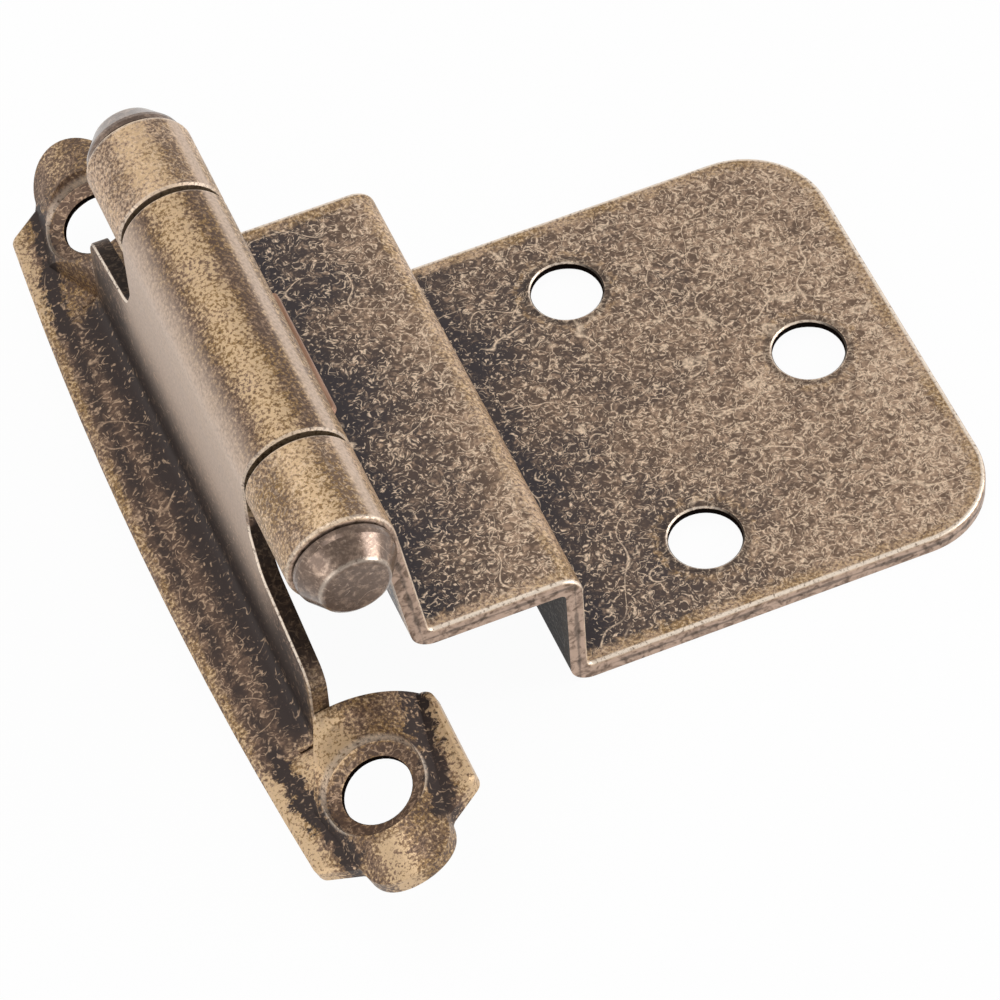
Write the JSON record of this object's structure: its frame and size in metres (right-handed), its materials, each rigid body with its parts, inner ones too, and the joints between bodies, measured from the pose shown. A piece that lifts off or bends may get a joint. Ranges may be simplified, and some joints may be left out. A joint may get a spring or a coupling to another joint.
{
  "type": "inset cabinet hinge",
  "caption": "Inset cabinet hinge: a stepped door leaf for a lipped door, a frame leaf with finial-shaped ears, a headed pin through the barrel and a flat closing spring.",
  "frame": {"origin": "midway between the pair of door screw holes, on the face of the plate that seats on the door", "axes": "+X from the barrel to the tip of the plate, +Y along the pin, +Z out of the seating face towards the door"},
  "size_m": [0.0541, 0.0658, 0.0246],
  "materials": {
    "door_leaf": "antique brass plating over sheet steel, dark brown patina rubbed back to tan on the high spots",
    "frame_leaf": "antique brass plating over sheet steel, dark brown patina rubbed back to tan on the high spots",
    "hinge_pin": "antique brass plating over turned steel",
    "closing_spring": "smooth copper-brown spring strip"
  },
  "bodies": {
    "door_side": {"door_leaf": "door_leaf", "hinge_pin": "hinge_pin"},
    "frame_side": {"frame_leaf": "frame_leaf", "closing_spring": "closing_spring"}
  },
  "joints": [
    {"name": "leaf_swing", "type": "hinge", "parent": "door_side", "child": "frame_side", "pos_m": [-0.0265, 0, 0.01977], "axis": [0, 1, 0], "range_deg": [-30, 200], "stiffness_Nm_per_rad": 0.02}
  ]
}
